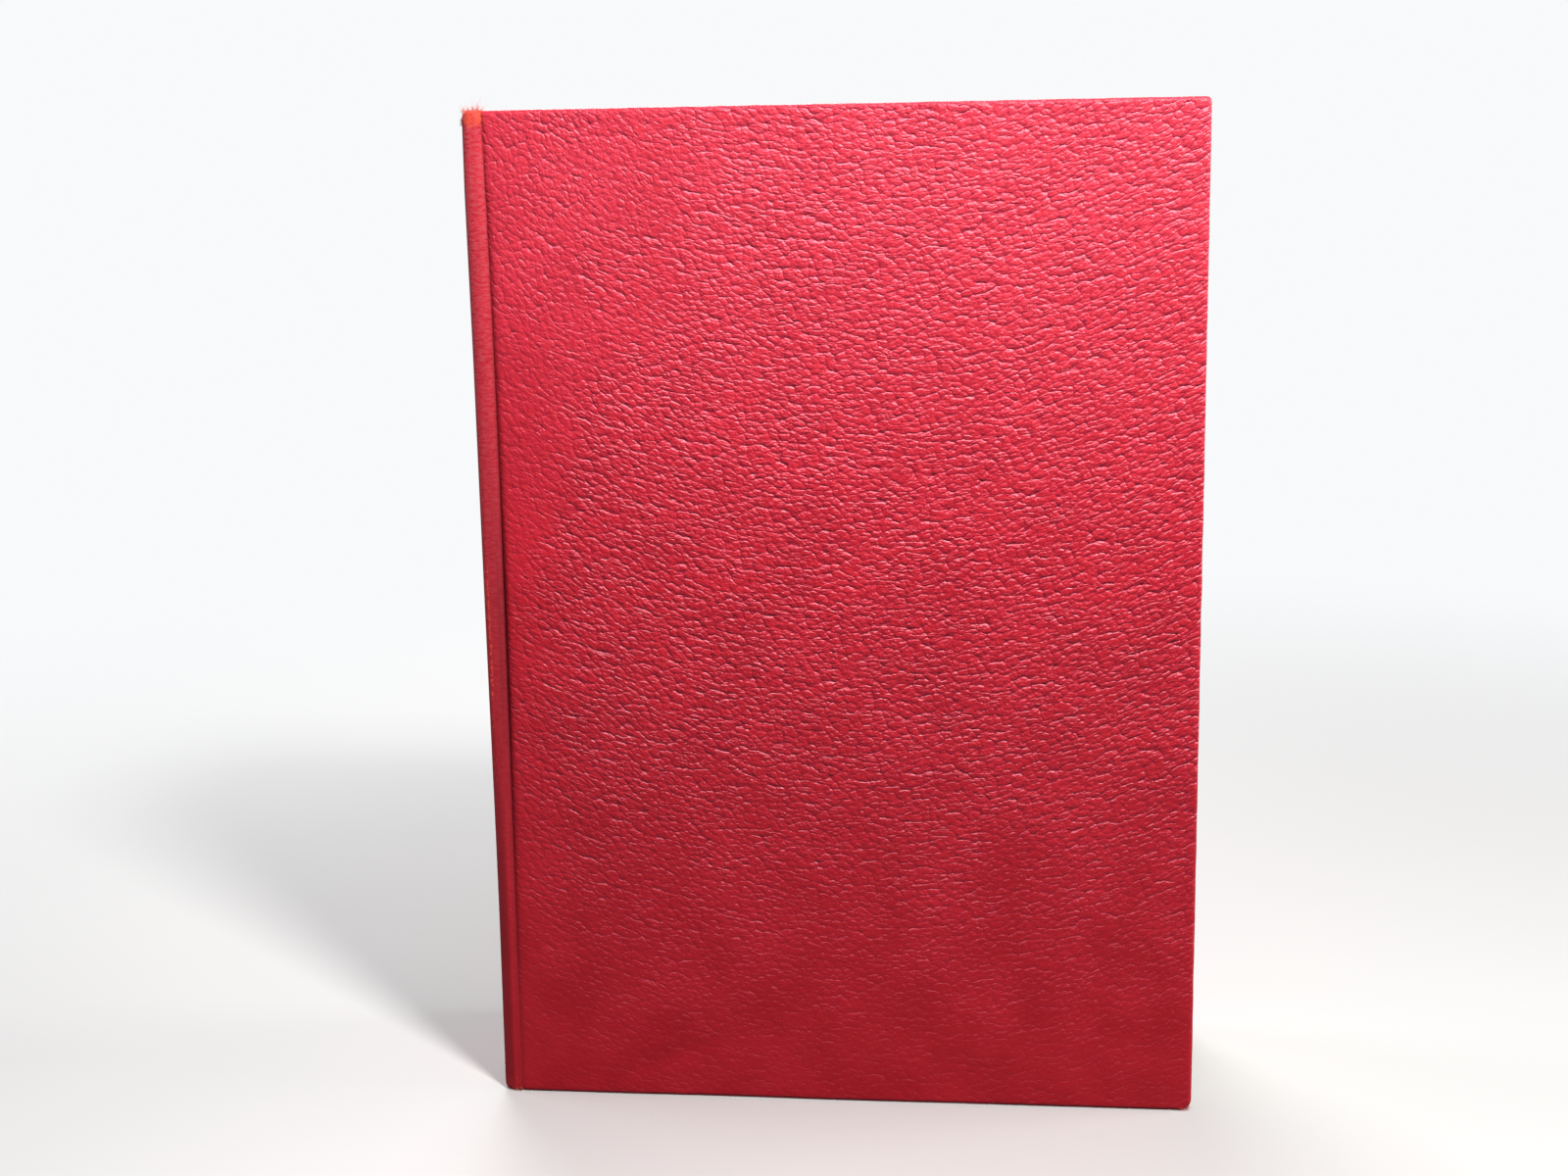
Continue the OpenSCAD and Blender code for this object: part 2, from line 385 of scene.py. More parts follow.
def leatherFinish(name):
    v, tint = leather, leather["share"]
    skin = Finish(name, roughness=0.45, specularIorLevel=0.38, coatRoughness=0.20)
    lay = skin.lay()
    u, z, _ = skin.split(lay)
    wearAndHighlight, crease, bead = skin.marks()
    soft = skin.noise(lay, 55.0, 3.0)
    near, far = pebbles(skin, lay, *v["nearSpine"]), pebbles(skin, lay, *v["nearFore"])
    across = u + (0.26 - z) * 0.42 + (skin.noise(lay, 60.0, 2.0) - 0.5) * 0.08
    share = skin.step(across, v["change"][0] * mm, v["change"][1] * mm)
    dome, lump, crack, fold = [a + (b - a) * share for a, b in zip(near, far)]
    fine = skin.noise(lay, 3200.0, 2.0, 0.6)

    # the grain is softer beside the spine and gone on the smooth bead
    besideSpine = skin.step(u, -0.088, -0.062) * 0.30 + 0.70
    firm = (1.0 - bead * 0.92) * (1.0 - crease * 0.5) * besideSpine
    domes = dome * v["dome"] + lump * v["lump"] - crack * v["gap"] - fold * v["fold"]
    grained = skin.bump(domes * firm, mm)

    # it is full above and pressed nearly flat at the foot
    low, high = v["smoothFoot"]
    foot = skin.step(z + (soft - 0.5) * 0.06, low * mm, high * mm)
    foot = foot * (1.0 - v["footGrain"]) + v["footGrain"]
    full = foot * firm
    plain = skin.add("ShaderNodeNewGeometry", out="Normal")
    tilt = skin.vector("SUBTRACT", grained, plain)
    pressed = skin.vector("MULTIPLY_ADD", tilt, skin.join(foot, foot, foot), plain)
    fibres = skin.noise(skin.join(u * 0.30, z), 1500.0, 4.0, 0.8)
    relief = fine * v["fine"] + fibres * bead * v["fibres"]
    relief = skin.bump(relief, mm, skin.vector("NORMALIZE", pressed))

    # colour: painted shade below and painted light above, darker towards the foot and brighter towards the
    # head as light falls from above, with slow mottling
    smooth = 1.0 - bead
    height = skin.step(z, 0.02, 0.26)
    base = skin.mix(height * 0.75 + skin.step(soft, 0.3, 0.7) * 0.25, v["deep"], v["bright"])

    # how much the grain turns the surface upwards: those flanks get painted highlights and painted glints,
    # the under sides and the cracks painted shade
    rise = skin.split(tilt)[2]
    crackShade = skin.step(crack + fold * 0.3 + (0.5 - dome) * 0.6, 0.1, 1.1)
    base = skin.mix(crackShade * full * tint["crackShade"], base, v["creviceShade"])
    base = skin.mix(skin.step(rise, 0.0, -0.5) * full * tint["underSideShade"], base, v["creviceShade"])
    # painted sheen over the upper half of the cover, growing towards the head
    veil = skin.step(z, 0.13, 0.28) * (0.5 + soft * 0.5) * smooth * tint["veil"]
    base = skin.mix(veil, base, v["paintedSheen"])
    # the painted highlights on up-turned flanks grow stronger towards the head
    above = skin.step(z, 0.05, 0.26) * 0.8 + 0.2
    upperHighlight = skin.step(rise, 0.10, 0.50) * full * above * smooth
    base = skin.mix(upperHighlight * tint["upperSideHighlight"], base, v["paintedSheen"])
    base = skin.mix(skin.step(rise, 0.34, 0.60) * full * tint["steepestGlint"], base, v["paintedGlint"])

    # small pale flecks everywhere, and painted highlights as thin pale lines on the up-turned flanks where
    # the grain is pressed flat
    lines = skin.step(rise + (soft - 0.5) * 0.3, 0.22, 0.55) * (1.0 - foot)
    lines = lines * skin.step(z, 0.004, 0.045) * tint["lines"]
    speckle = skin.step(fine, 0.45, 0.8) * (full * 0.12 + 0.02)
    base = skin.mix(speckle + lines, base, v["paintedSheen"])

    # the rubbed bead, painted shade on the bead and in and beside the groove, and the worn edges with the
    # painted highlights along the bead
    rubbed = bead * skin.step(fibres, 0.40, 0.66) * skin.step(z, 0.0, 0.3)
    base = skin.mix(rubbed, base, v["rubbed"])
    base = skin.mix(bead * skin.step(fibres, 0.5, 0.3) * tint["shadedFibres"], base, v["beadShade"])
    # painted shade: the bead darker towards the foot
    base = skin.mix(bead * (1.0 - skin.step(z, 0.12, 0.26)) * tint["beadFootShade"], base, v["beadShade"])
    base = skin.mix(crease * tint["groove"], base, v["groove"])
    ragged = (skin.noise(lay, 700.0, 4.0, 0.75) - 0.5) * 2.2
    worn = skin.step(wearAndHighlight * 0.75 + ragged, 0.40, 0.95)
    base = skin.mix(worn * tint["worn"], base, v["worn"])
    roughness = 0.40 + fine * 0.08 + bead * 0.30 + (1.0 - full) * 0.06
    skin.set(baseColor=base, normal=relief, coatWeight=v["gloss"] * full, roughness=roughness)
    return skin.material


leatherSkin = leatherFinish("redLeather")


dent = {
    "x": -44.0, "z": 12.0,  # its middle
    "dx": 0.93, "dz": 0.36,  # the way it runs
    "length": 11.0, "width": 2.2,
    "depth": 0.22,
    "swell": (0.8, 4.5, 3.0),  # the swelling beside it: share of the depth, distance and width
}


def faceWaves(x, z, seed):
    # How far the cover's face lies off its plane: slow ripples that die at the groove, and a
    # shallow dent near the front cover's foot.
    (slow, slowLength), (quick, quickLength) = coverSkin["waves"]
    off = slow * ripples(x, z, seed, slowLength) + quick * ripples(x, z, seed + 1, quickLength)
    d = dent
    down = (x - d["x"]) * d["dx"] + (z - d["z"]) * d["dz"]
    beside = -(x - d["x"]) * d["dz"] + (z - d["z"]) * d["dx"]
    if seed == coverSkin["frontSeed"]:
        share, distance, width = d["swell"]
        press = bell(beside, 0, d["width"]) - share * bell(beside, -distance, width)
        off = off + d["depth"] * bell(down, 0, d["length"]) * press
    return off * ramp(x, *coverSkin["wavesX"])


groove = {
    # heights, and at each: the groove's depth, where the bead's crest lies between spine and
    # groove, and how far the spine leans
    "z": (0, 10, 50, 80, 110, 140, 165, 200, 240, 260),
    "depth": (0.30, 0.35, 0.75, 1.05, 1.55, 1.55, 1.10, 0.95, 0.72, 0.42),
    "crest": (0.72, 0.72, 0.72, 0.50, 0.30, 0.28, 0.38, 0.50, 0.48, 0.42),
    "lean": (0.0, 0.10, 0.34, 0.34, 0.26, 0.18, 0.08, 0.0, -0.30, -0.12),
    "x": -87.0,
    "bow": 0.7,  # how far it bends towards the fore edge
    "width": (1.15, 0.85),  # on the bead's side and on the cover's
    "line": (0.28, 0.3),  # share of the depth that is a sharp line, and its share of the width
}


def along(z, name):
    return np.interp(z, groove["z"], groove[name])


def grooveX(z):
    # The groove bends towards the fore edge, most at two thirds of the height.
    height = np.clip(z / book["height"], 0, 1)
    return groove["x"] + groove["bow"] * np.sin(math.pi * height ** 1.6)


coverSkin = {
    "edge": 1.15,  # radius of the three free edges
    "lip": 0.55,  # radius of their inner edge
    "corner": 3.0,
    "square": 6.0,  # how square the corner at the head is: 2 is a quarter circle
    "turnIn": 15.0,
    "tuck": 0.4,  # how far the turned-in edge is sunk
    "step": 1.35,  # spacing of the face's grid
    "across": (4, 30, 12),  # its columns up the spine's side, over the bead and beside the groove
    "bunched": (1.7, 1.3),  # how the last two bunch towards their start
    "sideY": (-25.3, -26.7),  # where the leather starts on the spine's side
    "sideX": -92.02,
    "nearX": -83.5,  # the grid is finer up to here
    "fan": 8,  # points round a corner
    "waves": ((0.10, 70), (0.035, 22)),  # heights and lengths of the face's ripples
    "wavesX": (-86.4, -80.4),  # they grow between these
    "uneven": (0.035, 9),  # waviness of the rim, and its length
    "drawnIn": (0.9, 1.8),  # how far the bead's ends are drawn in, and over what height
    "drawnX": (-89.0, -91.5),
    "frontSeed": 3,
    "backSeed": 11,
}
coverWear = {
    # bells give strength, distance from the groove or the spine, and width; ramps give start and end
    "bead": (-0.3, 0.6),  # the bead's smooth leather ends between these
    "crease": (0.5, 0.50),  # painted shade: the groove is dark where deeper than this, and how wide
    "head": 1.05,  # worn patch at the head of the bead
    "headTall": (2.4, 0.45, 1.5),  # its height at the bead, how fast it narrows, how ragged it is
    "headX": (-82.0, -86.0),
    "ridge": (0.40, 1.25, 0.40),  # painted highlight: a lit line along the bead's lower half
    "ridgeZ": (85, 60),
    "streakHighlight": (0.85, 1.5, 0.6),  # painted highlight: a lit streak on the middle of the bead
    "trough": (0.55, 1.2, 0.7),  # and painted shade in the trough beside it
    "middleZ": (1.3, 125, 40),
    "side": (0.55, 0.2, 0.55),  # painted shade: dark strip along the spine's side
    "sideZ": (140, 200),
    "foot": (0.30, 1.7, 2.5),  # painted shade on the outer part of the bead's lower half
    "footZ": (95, 65),
    "beside": (0.22, 1.0, 1.3),  # soft painted shade on the cover beside the groove
    "besideZ": (40, 80),
    "besideTop": (256, 226, 0.25),  # it fades upwards, down to this share
    "edge": (0.55, 0.35, 0.9),  # rubbed rim: strength, its variation, and width
    "corner": (0.7, 0.9, 7),  # how much of that along the sides, more at corners, and their size
    "spineEnds": (1.15, 0.45),  # worn ends of the bead, at head and tail
    "spineX": (-84.5, -87.0),
    "around": 8,  # how far round the rim they go
}


def faceMarks(x, z, left, valley, seed):
    # For the finish: worn leather with painted highlights along the bead, painted shade in and beside the
    # groove and on the bead, and the smooth bead.
    w = coverWear
    Z = z + 0 * x
    bead = 1 - ramp(x - valley, *w["bead"])
    deeper, width = w["crease"]
    crease = np.clip(along(z, "depth") - deeper, 0, 1) * bell(x, valley, width)
    tall, narrows, ragged = w["headTall"]
    tall = np.clip(tall - narrows * (x + 91) + ragged * ripples(x, Z, seed + 3, 3), 0.3, 5.0)
    rimZ = book["height"] - coverSkin["corner"]
    worn = w["head"] * bell(Z, rimZ, tall) * ramp(x, *w["headX"])
    # painted highlight: a lit line along the bead's lower half, carried by the wear mark, with less of the
    # bead's own colour under it
    strength, distance, width = w["ridge"]
    ridge = bell(x, valley - distance, width) * ramp(z, *w["ridgeZ"])
    worn += strength * ridge
    bead = bead * (1 - 0.8 * ridge)
    top, height, reach = w["middleZ"]
    middle = np.clip(top - abs(z - height) / reach, 0, 1)
    # painted highlight: a lit streak on the middle of the bead, carried by the wear mark
    strength, distance, width = w["streakHighlight"]
    worn += strength * bell(x, left + distance, width) * middle
    # painted shade: a dark strip along the spine's side, on the bead's outer lower part, in the trough and
    # on the cover beside the groove
    strength, distance, width = w["side"]
    dark = strength * bell(x, left + distance, width) * ramp(z, *w["sideZ"])
    strength, start, end = w["foot"]
    dark += strength * ramp(x, valley - start, valley - end) * ramp(z, *w["footZ"])
    strength, distance, width = w["trough"]
    dark += strength * bell(x, valley - distance, width) * middle
    strength, distance, width = w["beside"]
    top, under, least = w["besideTop"]
    heights = ramp(z, *w["besideZ"]) * np.maximum(ramp(z, top, under), least)
    dark += strength * bell(x, valley + distance, width) * (x > valley) * heights
    return np.stack([worn, np.maximum(crease, dark), bead], -1)


def coverFace(seed):
    # A grid over width and height. Across, it runs up the spine's side, over the bead, down
    # into the groove and out over the cover.
    s, H, foreX = coverSkin, book["height"], book["foreX"]
    r = s["corner"]
    z = np.linspace(r, H - r, int(round((H - 2 * r) / s["step"])))[:, None]
    sides, beads, nears = s["across"]
    side = np.linspace(*s["sideY"], sides + 1)[:-1]
    share = np.linspace(0, 1, beads) ** s["bunched"][0]
    near = np.linspace(0, 1, nears)[1:] ** s["bunched"][1]
    left, valley = s["sideX"] + along(z, "lean"), grooveX(z)
    beadX = left + share * (valley - left)
    nearX = valley + near * (s["nearX"] - valley)
    count = int(round((foreX - s["nearX"] - r) / s["step"]))
    faceX = np.linspace(s["nearX"], foreX - r, count)[1:] + 0 * z
    x = np.concatenate([left + 0 * side, beadX, nearX, faceX], 1)
    rise = np.clip(1 - share / along(z, "crest"), 0, 1)
    rounded = book["beadR"] * (1 - np.sqrt(1 - rise ** 2))
    wide = np.where(x < valley, *groove["width"])
    sharp, narrow = groove["line"]
    dip = (1 - sharp) * bell(x, valley, wide) + sharp * bell(x, valley, narrow * wide)
    dip *= along(z, "depth")
    y = book["faceY"] + dip + faceWaves(x, z, seed)
    y[:, :len(side)] = side
    y[:, len(side):len(side) + len(share)] += rounded
    steps = np.hypot(np.diff(x), np.diff(y))
    run = np.concatenate([np.zeros((len(z), 1)), np.cumsum(steps, 1)], 1)
    run += foreX - r - run[:, -1:]
    Z = z + 0 * x
    marks = faceMarks(x, z, left, valley, seed)
    return np.stack([x, y, Z], -1), np.stack([run, Z, 0 * x], -1), marks


def rimProfile():
    # Outward distance and depth: round the outer edge, round the inner one, and back under.
    s = coverSkin
    r, e, lip, thick = s["corner"], s["edge"], s["lip"], book["turnInY"] - book["faceY"]
    arc = np.linspace(0, math.pi / 2, 7)
    out = [(0, 0), (0.9, 0)] + [(r - e + e * math.sin(a), e - e * math.cos(a)) for a in arc]
    out += [(r, thick * 0.5)]
    out += [(r - lip + lip * math.cos(a), thick - lip + lip * math.sin(a)) for a in arc[::2]]
    out += [(r - w, thick) for w in np.linspace(1.5, s["turnIn"], 10)]
    return np.array(out + [(r - s["turnIn"], thick - s["tuck"])])


def coverPoints(seed):
    # The face's grid, and its rim: one profile carried round the tail, fore edge and head.
    s, w, H = coverSkin, coverWear, book["height"]
    r, thick = s["corner"], book["turnInY"] - book["faceY"]
    face, lay, marks = coverFace(seed)
    m, n = face.shape[:2]
    face, lay, marks = [values.reshape(-1, 3) for values in (face, lay, marks)]
    faces = rows(m, n).tolist()
    out = rimProfile()
    reach = np.concatenate([[0], np.cumsum(np.hypot(*np.diff(out, axis=0).T))])
    fan = np.linspace(0, math.pi / 2, s["fan"])
    square = (np.cos(fan) ** s["square"] + np.sin(fan) ** s["square"]) ** (-1 / s["square"])
    tail, fore = np.arange(n), (np.arange(m) + 1) * n - 1
    head = np.arange(n)[::-1] + (m - 1) * n
    corners = np.full(s["fan"], tail[-1]), np.full(s["fan"], head[0])
    order = np.concatenate([tail, corners[0], fore[1:-1], corners[1], head])
    normal = np.concatenate([
        np.tile([0, -1], (n, 1)),
        np.stack([np.sin(fan), -np.cos(fan)], 1),
        np.tile([1, 0], (m - 2, 1)),
        np.stack([np.cos(fan), np.sin(fan)], 1) * square[:, None],
        np.tile([0, 1], (n, 1)),
    ]).astype(float)
    outX, outZ = normal[:, 0:1], normal[:, 1:2]
    baseX, baseY, baseZ = [face[order][:, i:i + 1] for i in range(3)]
    layX, layZ = lay[order][:, 0:1], lay[order][:, 1:2]
    go, deep = out[:, 0][None, :], out[:, 1][None, :]
    size, length = s["uneven"]
    uneven = size * ripples(layX, layZ, seed + 7, length) * (go > r - 0.9)
    x = baseX + (go + uneven) * outX
    z = baseZ + (go + uneven) * outZ
    inwards = np.maximum(r - go, 0)
    x = np.where(go < 0, np.minimum(x, book["foreX"] - inwards), x)
    drawnIn, tall = s["drawnIn"]
    ends = ramp(np.maximum(z - H, -z), -tall, 0)
    x = x + drawnIn * ends ** 2 * ramp(x, *s["drawnX"])
    z = np.where(go < 0, np.clip(z, inwards, H - inwards), z)
    y = baseY + deep * (book["turnInY"] - baseY) / thick
    rim = np.stack([x, y, np.maximum(z, 0)], -1).reshape(-1, 3)
    rimLay = np.stack([layX + reach * outX, layZ + reach * outZ, 0 * x], -1).reshape(-1, 3)
    # the rim is rubbed along its outer edge, more at the corners and at the bead's ends
    strength, varied, width = w["edge"]
    rub = strength + varied * ripples(layX, layZ, seed + 5, 30)
    rub = bell(reach, reach[6], width)[None, :] * rub
    sides, more, size = w["corner"]
    corner = bell(np.hypot(baseX - (book["foreX"] - r), np.minimum(baseZ, H - baseZ)), 0, size)
    spineEnd = ramp(baseX, *w["spineX"]) * (reach[None, :] < w["around"])
    spineEnd = spineEnd * np.where(baseZ > H / 2, *w["spineEnds"])
    rub = np.maximum(rub * (sides + more * corner), spineEnd)
    bead = np.broadcast_to(marks[order][:, 2:3], x.shape)
    rimMarks = np.stack([np.broadcast_to(rub, x.shape), 0 * x, bead], -1).reshape(-1, 3)
    faces += rows(len(order), len(out), len(face)).tolist()
    points = np.concatenate([face, rim])
    return points, faces, np.concatenate([lay, rimLay]), np.concatenate([marks, rimMarks])


for side, seed in (("front", coverSkin["frontSeed"]), ("back", coverSkin["backSeed"])):
    points, faces, lay, marks = coverPoints(seed)
    if side == "back":
        points, faces = mirrored(points, faces)
        lay[:, 0] += 400.0  # so that its grain isn't the front's
    cover = makePiece(side + "_cover_skin", points, faces, leatherSkin, lay, marks)
    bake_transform(cover)
    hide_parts(side + "_cover_leather", side + "_joint_leather")
print("the covers' leather is made")


# The spine: a strip with a half-round bead along each long edge.
spineSkin = {
    "end": 0.95,  # radius at head and tail
    "innerX": -87.85,
    "step": 1.6,
    "beadShare": 0.80,  # the covers' leather goes over its beads
    "beadFrom": 50,  # degrees: where the arc of its beads starts, inside the groove
    "points": (26, 40, 30),  # round a bead, over the flat back and over the inside
    "overlap": 2.2,
    "leanY": (8, 26),  # it leans from the middle of the back out to the beads
    "waves": ((0.06, 30), (0.05, 24), (0.25, 7), (0.15, 6)),  # of x, y, the head and the tail
    "endWaves": 6,  # how far the last two reach from their end
    # worn leather: strength, where it is, and how wide
    "endWear": (1.05, 0.2, 1.6),
    "ridgeWear": (0.30, 1.1, 0.7),
    "rimWear": (0.12, -1.7, 0.5),
    "crease": (0.85, 1.9, 2.3),  # painted shade inside the groove: strength, start and end
    "smoothY": (24.2, 26.2),  # the beads' smooth leather starts between these
}


def spinePoints():
    # A closed section, offset from the strip's middle line, carried up the height and drawn in
    # to that line at head and tail.
    s, H, R, e = spineSkin, book["height"], book["beadR"], spineSkin["end"]
    cx, cy = book["beadCentreX"], book["beadCentreY"]
    beads, flats, inners = s["points"]
    turn = np.linspace(math.radians(s["beadFrom"]), -math.pi, beads)
    bead = np.stack([R * np.cos(turn), R * np.sin(turn)], 1) * s["beadShare"]
    flat = np.linspace(cy, -cy, flats + 2)[1:-1]
    inner = np.linspace(-cy - s["overlap"], cy + s["overlap"], inners)
    middle = np.concatenate([
        np.tile([cx, cy], (beads, 1)),
        np.stack([np.full(flats, cx), flat], 1),
        np.tile([cx, -cy], (beads, 1)),
        np.stack([np.full(inners, cx), inner], 1),
    ])
    offset = np.concatenate([
        bead,
        np.tile([-R, 0.0], (flats, 1)),
        (bead * [1, -1])[::-1],
        np.tile([s["innerX"] - cx, 0.0], (inners, 1)),
    ])
    arc = np.linspace(0, math.pi / 2, 6)
    body = np.linspace(e, H - e, int((H - 2 * e) / s["step"]))[1:-1]
    height = np.concatenate([[0, 0], e - e * np.cos(arc), body, H - e + e * np.sin(arc), [H, H]])
    tailIn, headIn = (R - e + e * np.sin(arc)) / R, (R - e + e * np.cos(arc)) / R
    shrink = np.concatenate([[0, 0.3], tailIn, np.ones(len(body)), headIn, [0.3, 0]])
    z = height[:, None] + np.zeros(len(middle))
    o = offset[None, :, :] * shrink[:, None, None]
    side = ramp(np.abs(middle[:, 1]), *s["leanY"])
    x = middle[:, 0] + o[..., 0] + along(z, "lean") * side
    y = middle[:, 1] + o[..., 1]
    ends = ramp(np.minimum(z, H - z), s["endWaves"], 0)
    (sizeX, longX), (sizeY, longY), (sizeHead, longHead), (sizeTail, longTail) = s["waves"]
    x = x + sizeX * ripples(z, y, 21, longX) * (offset[:, 0] < 0)
    y = y + sizeY * ripples(z, x, 22, longY)
    atHead = ends * sizeHead * ripples(y, x, 23, longHead) * (z > H / 2)
    z = z + atHead + ends * sizeTail * ripples(y, x, 24, longTail) * (z < H / 2)
    z = np.maximum(z, 0.0)
    run = np.concatenate([[0], np.cumsum(np.hypot(*np.diff(middle + offset, axis=0).T))])
    lay = np.stack([800.0 + run[None, :] + 0 * z, z, 0 * z], -1)
    # for the finish: worn ends and edges, painted shade inside the groove, and the smooth beads
    onX, onY = offset[:, 0], np.abs(offset[:, 1])
    strength, place, width = s["endWear"]
    worn = strength * bell(np.minimum(z, H - z), place, width)
    strength, place, width = s["ridgeWear"]
    ridge = strength * bell(onX, place, width) * (onY > 1.5)
    strength, place, width = s["rimWear"]
    rim = strength * bell(onX, place, width) * (onY > 0.9)
    strength, start, end = s["crease"]
    crease = strength * ramp(onX, start, end) + 0 * z
    bead = ramp(np.abs(middle[:, 1] + offset[:, 1]), *s["smoothY"]) + 0 * z
    marks = np.stack([np.maximum(worn, ridge + rim), crease, bead], -1)
    faces = rows(len(height), len(middle), 0, True).tolist()
    points = np.stack([x, y, z], -1)
    return points.reshape(-1, 3), faces, lay.reshape(-1, 3), marks.reshape(-1, 3)


points, faces, lay, marks = spinePoints()
spine = makePiece("spine_skin", points, faces, leatherSkin, lay, marks)
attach(spine, "spine_and_block")
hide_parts("spine_leather")
print("the spine's leather is made")


paper = {
    "leaf": (0.69, 0.61, 0.46),
    "leafShade": (0.54, 0.45, 0.31),
    "end": (0.76, 0.69, 0.56),
    "fibre": (0.42, 0.33, 0.22),
    "dust": (0.36, 0.31, 0.24),
    "dustZ": (0.2556, 0.2569),  # dust sets in between these heights, in metres
    "dustX": (0.12, -0.12),  # and grows from the fore edge to the spine
    "dustShare": (0.25, 0.30, 0.22),  # by place, by cloud, and everywhere
    "bump": 0.00006,
    "bunched": 2.2,  # how a leaf's columns bunch towards its fold
}


def paperFinish(name, colour, shade, fromLay, lines=True):
    sheet = Finish(name, roughness=0.8, specularIorLevel=0.3)
    place = sheet.lay() if fromLay else sheet.place()
    x, y, z = sheet.split(place)
    cloud = sheet.noise(place, 22.0, 3.0)
    fibre = sheet.noise(place, 1800.0, 2.0, 0.6)
    base = sheet.mix(sheet.step(cloud, 0.3, 0.75) * (0.5 if lines else 0.28), colour, shade)
    base = sheet.mix(sheet.step(fibre, 0.4, 0.8) * 0.12, base, paper["fibre"])
    height = fibre * 0.3
    if lines:
        stack = sheet.noise(sheet.join(x * 12.0, y * 5200.0, z * 12.0), 1.0, 1.0, 0.6)
        base = sheet.mix(sheet.step(stack, 0.45, 0.75) * 0.55, base, shade)
        height = height + stack
        # the head edge has gathered dust, more of it near the spine
        byPlace, byCloud, everywhere = paper["dustShare"]
        dust = sheet.step(x, *paper["dustX"]) * byPlace + cloud * byCloud + everywhere
        dust = sheet.step(z, *paper["dustZ"]) * dust
        base = sheet.mix(dust, base, paper["dust"])
    sheet.set(baseColor=base, normal=sheet.bump(height, paper["bump"]), roughness=0.75 + cloud * 0.15)
    return sheet.material


leafPaper = paperFinish("leafPaper", paper["leaf"], paper["leafShade"], True)
endPaper = paperFinish("endPaper", paper["end"], paper["leafShade"], True, False)
endPaperNode = paperFinish("endPaperPasted", paper["end"], paper["leafShade"], False, False)


def slab(x0, x1, y0, y1, z0, z1, columns, levels):
    # A thin closed box of paper: a grid on each side and its four edges, with the columns
    # bunched towards the fold.
    t = np.linspace(0, 1, columns)
    x = x0 + (x1 - x0) * t ** paper["bunched"]
    z = np.linspace(z0, z1, levels)
    front, back = np.full(columns, y0), np.full(columns, y1)
    ring = np.concatenate([np.stack([x, front], 1), np.stack([x[::-1], back], 1)])
    n = len(ring)
    points = np.concatenate([np.tile(ring, (levels, 1)), np.repeat(z, n)[:, None]], 1)
    faces = rows(levels, n, 0, True).tolist()
    c = np.arange(columns - 1)
    end = np.stack([c, n - 1 - c, n - 2 - c, c + 1], 1)
    faces += end.tolist() + (end[:, ::-1] + (levels - 1) * n).tolist()
    return points, faces


def stack(slabs):
    points, faces, start = [], [], 0
    for p, f in slabs:
        points.append(p)
        faces += [[i + start for i in q] for q in f]
        start += len(p)
    return np.concatenate(points), faces


leaves = {
    "bundles": 4,  # on each side of a section's fold
    "fanned": 8,  # sections on each side that are not attached to the spine and block
    "foreWobble": 0.22,
    "endWobble": 0.10,
    "shift": 0.25,  # how far a whole section may sit back
    "nest": 0.22,  # how far one fold lies inside the next
    "gap": 0.02,  # between two sections
    "bendEnd": -62.0,  # a width across the leaves, in millimetres
    "columns": (26, 6),  # along a leaf of those sections, and along one of the others
}
flyleaf = {"y": (-24.24, -24.01), "grid": (44, 12)}
jointPaper = {
    "x": (-87.4, -85.5), "y": (-24.62, -24.50), "z": (4.0, 256.0), "grid": (34, 10),
}


rng = np.random.default_rng(5)
for k in range(1, book["sections"] + 1):
    low = book["blockY"] + (k - 1) * book["sectionPitch"]
    moving = min(k, book["sections"] + 1 - k) <= leaves["fanned"]
    columns = leaves["columns"][0 if moving else 1]
    bundles = leaves["bundles"]
    thick = (book["sectionPitch"] - leaves["gap"]) / (2 * bundles)
    slabs = []
    shift = rng.uniform(0, leaves["shift"])
    for b in range(2 * bundles):
        inset = shift + rng.uniform(0, leaves["foreWobble"])
        nest = abs(b - bundles + 0.5) - 0.5  # 0 at the middle of the fold
        foldX = book["leafX"] + (bundles - 1 - nest) * leaves["nest"]
        foreX = book["leafForeX"] - inset
        y0 = low + leaves["gap"] / 2 + b * thick
        tailZ = book["leafTailZ"] + rng.uniform(0, leaves["endWobble"])
        headZ = book["leafHeadZ"] - rng.uniform(0, leaves["endWobble"])
        slabs.append(slab(foldX, foreX, y0, y0 + thick, tailZ, headZ, columns, 4))
    points, faces = stack(slabs)
    name = f"section_{k:02d}"
    section = makePiece(name + "_paper", points, faces, leafPaper, weld=False, smooth=False)
    if moving:
        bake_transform(section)
    else:
        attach(section, "spine_and_block")
    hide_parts(name)

for side in ("front", "back"):
    across, upright = (book["leafX"], book["leafForeX"]), (book["leafTailZ"], book["leafHeadZ"])
    points, faces = slab(*across, *flyleaf["y"], *upright, *flyleaf["grid"])
    if side == "back":
        points, faces = mirrored(points, faces)
    fly = makePiece(side + "_flyleaf_paper", points, faces, endPaper, weld=False, smooth=False)
    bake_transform(fly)
    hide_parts(side + "_flyleaf")
    # the endpaper's fold across the joint, with its columns evenly spaced
    points, faces = slab(*jointPaper["x"], *jointPaper["y"], *jointPaper["z"], *jointPaper["grid"])
    start, wide = jointPaper["x"][0], jointPaper["x"][1] - jointPaper["x"][0]
    points[:, 0] = start + wide * ((points[:, 0] - start) / wide) ** (1 / paper["bunched"])
    if side == "back":
        points, faces = mirrored(points, faces)
    joint = makePiece(side + "_joint_paper", points, faces, endPaper, weld=False, smooth=True)
    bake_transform(joint)
print("the leaves are made")


